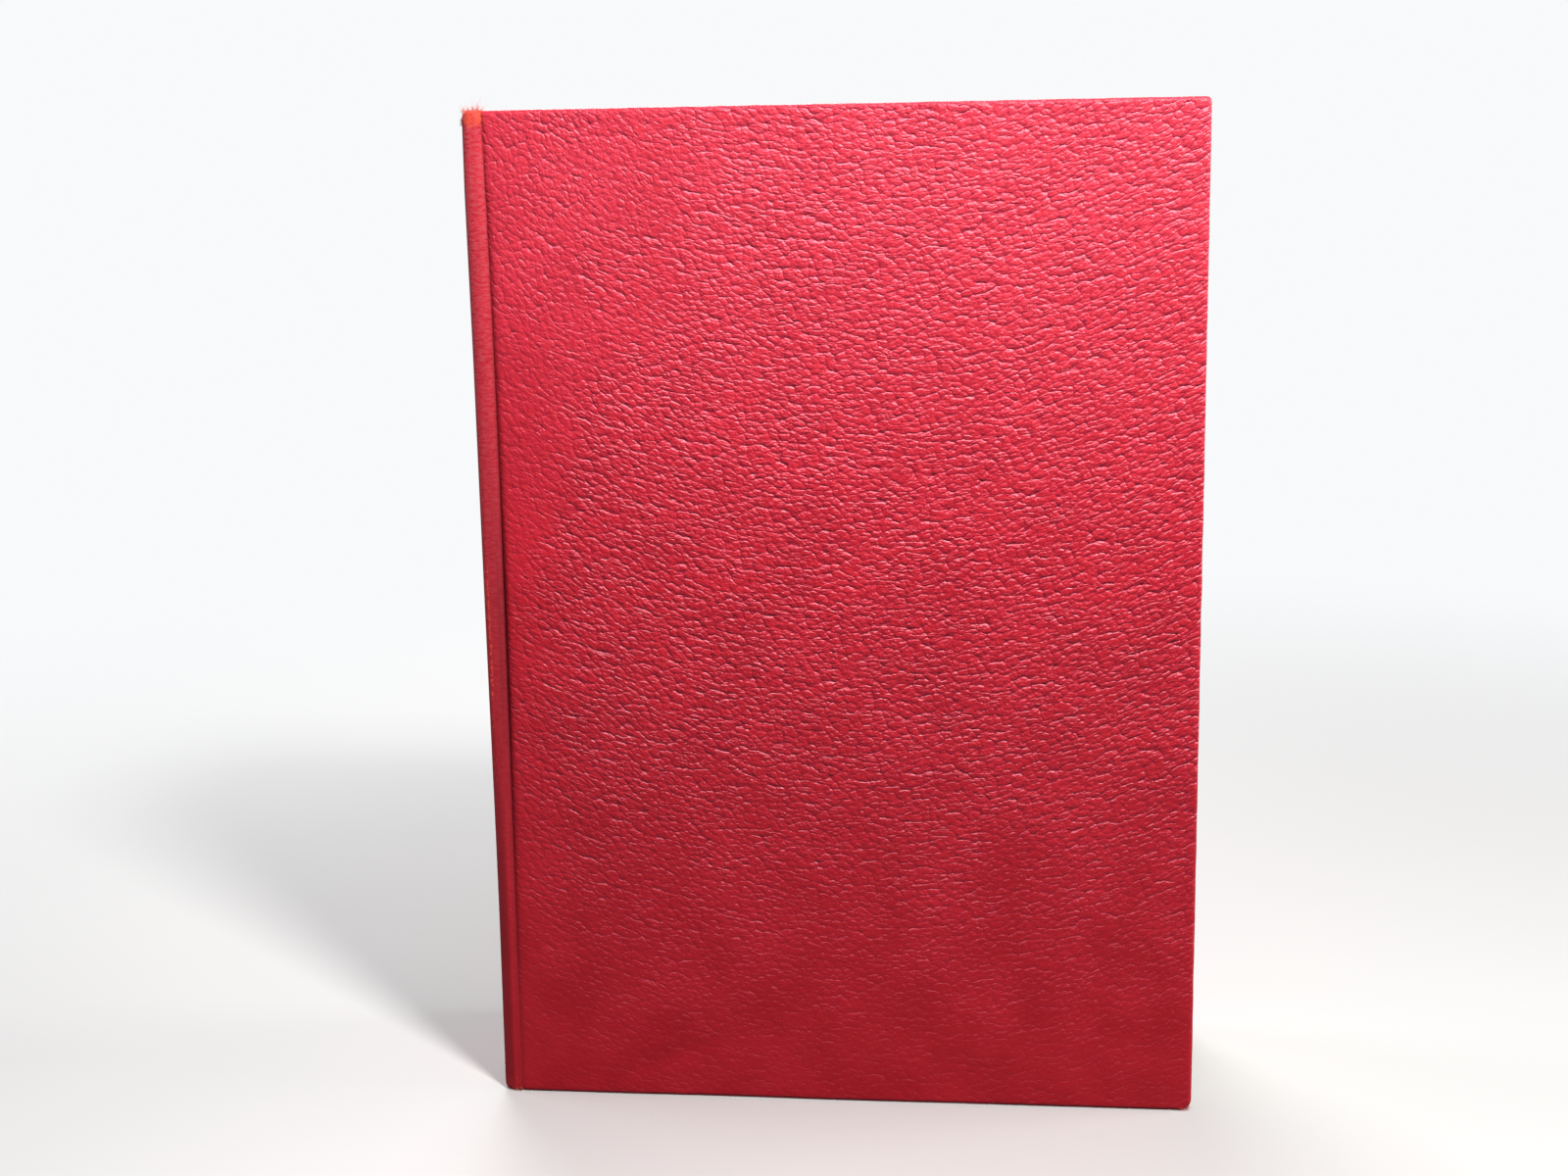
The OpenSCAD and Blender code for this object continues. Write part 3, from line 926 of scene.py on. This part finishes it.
band = {
    "pitch": 1.05,  # width of one winding
    "r": 1.12,
    "swell": 0.12,  # how far a winding stands out
    "ends": 20.9,
    "round": 0.5,  # length of its rounded ends
    "around": 12,  # points round it
    "perWinding": 6,  # rings along a winding
    "x": -85.2,
    "z": 258.5,
    "tongue": (-86.39, -86.12, -20.8, 20.8, 251.0, 258.4),  # the glued strip's sides
    "pale": (0.72, 0.60, 0.38),
    "red": (0.45, 0.03, 0.03),
    "shade": (0.30, 0.12, 0.06),
}


def headbandFinish():
    silk = Finish("headbandSilk", roughness=0.5)
    x, y, z = silk.split(silk.lay())
    turn = (y * (1000.0 / (band["pitch"] * 2)) + 100.0).math("FRACT")
    red = silk.step(turn, 0.47, 0.53)
    strands = silk.noise(silk.join(x * 0.5, y * 3.0, z * 0.5), 5200.0, 2.0)
    base = silk.mix(red, band["pale"], band["red"])
    base = silk.mix(strands * 0.35, base, band["shade"])
    silk.set(baseColor=base, normal=silk.bump(strands, 0.00012), roughness=0.4 + strands * 0.2)
    return silk.material


silk = headbandFinish()
for name in ("headband", "tailband"):
    # core: a tube whose radius swells over each winding of thread
    count = int(2 * band["ends"] / band["pitch"]) * band["perWinding"] + 1
    y = np.linspace(-band["ends"], band["ends"], count)
    winding = np.abs(np.sin(y * math.pi / band["pitch"])) ** 0.5
    swell = band["r"] - band["swell"] + band["swell"] * winding
    cap = np.clip((band["ends"] - np.abs(y)) / band["round"], 0, 1) ** 0.5
    around = band["around"]
    a = np.linspace(0, math.tau, around + 1)[:-1]
    radius = (swell * cap)[:, None]
    x, z = band["x"] + radius * np.cos(a), band["z"] + radius * np.sin(a)
    ring = np.stack([x, y[:, None] + 0 * a, z], -1)
    faces = rows(count, around, 0, True)[:, ::-1].tolist()
    tongue, tongueFaces = slab(*band["tongue"], 2, 2)
    tongueFaces = [[i + count * around for i in f] for f in tongueFaces]
    points = np.concatenate([ring.reshape(-1, 3), tongue])
    faces += tongueFaces
    if name == "tailband":
        points[:, 2] = book["height"] - points[:, 2]
        faces = [f[::-1] for f in faces]
    piece = makePiece(name + "_silk", points, faces, silk)
    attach(piece, "spine_and_block")
    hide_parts(name)


fray = {
    "colour": (0.90, 0.24, 0.17),
    "root": (0.62, 0.05, 0.05),
    "dark": (0.12, 0.03, 0.03),
    "darkRoot": (0.40, 0.02, 0.03),
    "r": 0.045,
    "spread": 0.45,  # how far the fibres stray from their aim
    "lowest": 0.05,  # none goes below this height
}


def frayedFinish(name, tip, root):
    fibre = Finish(name, roughness=0.75)
    base = fibre.mix(fibre.noise(fibre.place(), 900.0), tip, root)
    fibre.set(baseColor=base, normal=fibre.bump(fibre.noise(fibre.place(), 9000.0), 0.00003))
    return fibre.material


frayed = frayedFinish("frayedFibres", fray["colour"], fray["root"])
frayedDark = frayedFinish("frayedDarkFibres", fray["dark"], fray["darkRoot"])


def strands(roots, aims, lengths, curl, seed):
    # Each fibre is a four-sided tube that thins to its tip. Its line goes straight from the root
    # along its aim, and its curl bends it off with the square of the distance gone.
    rng = np.random.default_rng(seed)
    n, k = len(roots), 6
    t = np.linspace(0, 1, k)[None, :, None]
    bend = rng.normal(0, 1, (n, 1, 3)) * curl
    long = lengths[:, None, None]
    line = roots[:, None, :] + aims[:, None, :] * long * t + bend * t ** 2 * long
    side = rng.normal(0, 1, (n, 3))
    side -= aims * (side * aims).sum(1)[:, None]
    side /= np.linalg.norm(side, axis=1)[:, None]
    other = np.cross(aims, side)
    a = np.arange(4) * math.pi / 2
    r = fray["r"] * (1 - 0.75 * t)[..., None]
    cos, sin = np.cos(a)[None, None, :, None], np.sin(a)[None, None, :, None]
    ring = side[:, None, None, :] * cos + other[:, None, None, :] * sin
    points = (line[:, :, None, :] + ring * r).reshape(-1, 3)
    one = rows(k, 4, 0, True)
    faces = (one[None] + (np.arange(n) * k * 4)[:, None, None]).reshape(-1, 4)
    return points, faces.tolist()


# where the roots stand and how far they scatter, where the fibres aim, and the longest of them
tufts = {
    "head_fray": {
        "body": "spine_and_block", "count": 150, "place": (-89.4, -27.0, 259.6), "scatter": (2.4, 1.9, 0.4),
        "aim": (0.1, -0.25, 1.0), "length": 1.9, "curl": 0.35, "seed": 31,
    },
    "head_fray_hairs": {
        "body": "spine_and_block", "count": 9, "place": (-88.6, -27.2, 259.8), "scatter": (1.2, 1.2, 0.2),
        "aim": (0.5, -0.1, 1.0), "length": 4.2, "curl": 0.4, "seed": 33,
    },
    "head_nub": {
        "body": "spine_and_block", "count": 90, "place": (-91.7, -27.6, 257.2), "scatter": (0.45, 0.6, 0.8),
        "aim": (-0.8, -0.4, 0.3), "length": 1.0, "curl": 0.35, "seed": 39,
    },
    "tail_fray": {
        "body": "spine_and_block", "count": 80, "place": (-88.2, -28.4, 0.6), "scatter": (1.2, 0.5, 0.4),
        "aim": (0.2, -0.9, 0.0), "length": 1.3, "curl": 0.35, "seed": 35,
    },
    "corner_fray": {
        "body": "front_cover", "count": 60, "place": (90.2, -28.2, 0.7), "scatter": (1.5, 0.6, 0.5),
        "aim": (0.6, -0.6, 0.0), "length": 1.6, "curl": 0.4, "seed": 37,
    },
}
for name, t in tufts.items():
    rng = np.random.default_rng(t["seed"])
    count = t["count"]
    roots = np.array(t["place"]) + rng.uniform(-1, 1, (count, 3)) * np.array(t["scatter"])
    aims = np.array(t["aim"]) + rng.normal(0, fray["spread"], (count, 3))
    aims /= np.linalg.norm(aims, axis=1)[:, None]
    lengths = rng.uniform(0.35, 1.0, count) ** 1.5 * t["length"]
    points, faces = strands(roots, aims, lengths, t["curl"], t["seed"] + 1)
    points[:, 2] = np.maximum(points[:, 2], fray["lowest"])
    finish = frayedDark if name == "head_nub" else frayed
    piece = makePiece(name, points, faces, finish, weld=False)
    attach(piece, t["body"])
print("the frayed fibres are made")


def fibreFinish(name, colour, shade, scale, relief):
    stuff = Finish(name, roughness=0.85, specularIorLevel=0.3)
    place = stuff.place()
    speck = stuff.noise(place, scale, 3.0, 0.65)
    cloud = stuff.noise(place, 30.0, 2.0)
    base = stuff.mix(stuff.step(speck, 0.35, 0.7) * 0.6, colour, shade)
    base = stuff.mix(cloud * 0.3, base, shade)
    stuff.set(baseColor=base, normal=stuff.bump(speck, relief * mm), roughness=0.75 + speck * 0.15)
    return stuff.material


def weaveFinish(name, colour, shade, pitch, axes):
    # Plain weave: two crossed sine waves, over and under by turns.
    cloth = Finish(name, roughness=0.85, specularIorLevel=0.3)
    parts = cloth.split(cloth.place())
    a, b = [parts[i] * (math.pi * 1000.0 / pitch) for i in axes]
    sa, sb = a.math("SINE"), b.math("SINE")
    over = (sa * sb) * 0.5 + 0.5
    slub = cloth.noise(cloth.place(), 900.0, 2.0)
    base = cloth.mix(cloth.step(over, 0.2, 0.8), shade, colour)
    base = cloth.mix(slub * 0.3, base, shade)
    cloth.set(baseColor=base, normal=cloth.bump(over + slub * 0.4, 0.0001), roughness=0.8 + slub * 0.1)
    return cloth.material


slotFinish = {
    "board": fibreFinish("greyBoard", (0.42, 0.35, 0.26), (0.30, 0.25, 0.18), 1500.0, 0.05),
    "infill_card": fibreFinish("infillCard", (0.60, 0.53, 0.40), (0.45, 0.38, 0.27), 1500.0, 0.04),
    "mull": weaveFinish("mullWeave", (0.72, 0.67, 0.56), (0.40, 0.35, 0.27), 1.1, (1, 2)),
    "kraft_paper": fibreFinish("kraftPaper", (0.36, 0.22, 0.11), (0.26, 0.15, 0.07), 2200.0, 0.03),
    "endpaper": endPaperNode,
    "linen_tape": weaveFinish("linenTape", (0.70, 0.63, 0.49), (0.42, 0.36, 0.26), 0.5, (1, 2)),
    "linen_thread": fibreFinish("linenThread", (0.76, 0.70, 0.58), (0.52, 0.45, 0.33), 3000.0, 0.05),
}
plain = {
    "front_board": "board", "back_board": "board", "spine_board": "board",
    "front_infill": "infill_card", "back_infill": "infill_card",
    "front_mull_flange": "mull", "back_mull_flange": "mull", "spine_mull": "mull",
    "spine_lining": "kraft_paper", "front_pastedown": "endpaper", "back_pastedown": "endpaper",
    "sewing_tape_1": "linen_tape", "sewing_tape_2": "linen_tape",
    "sewing_tape_3": "linen_tape", "sewing_tape_4": "linen_tape",
    "sewing_thread": "linen_thread",
}
for name, slotName in plain.items():
    data = nodes[name].data
    if not data.materials:
        data.materials.append(None)
    for i in range(len(data.materials)):
        data.materials[i] = slotFinish[slotName]
print("the packed solids have their finishes")

low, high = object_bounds()
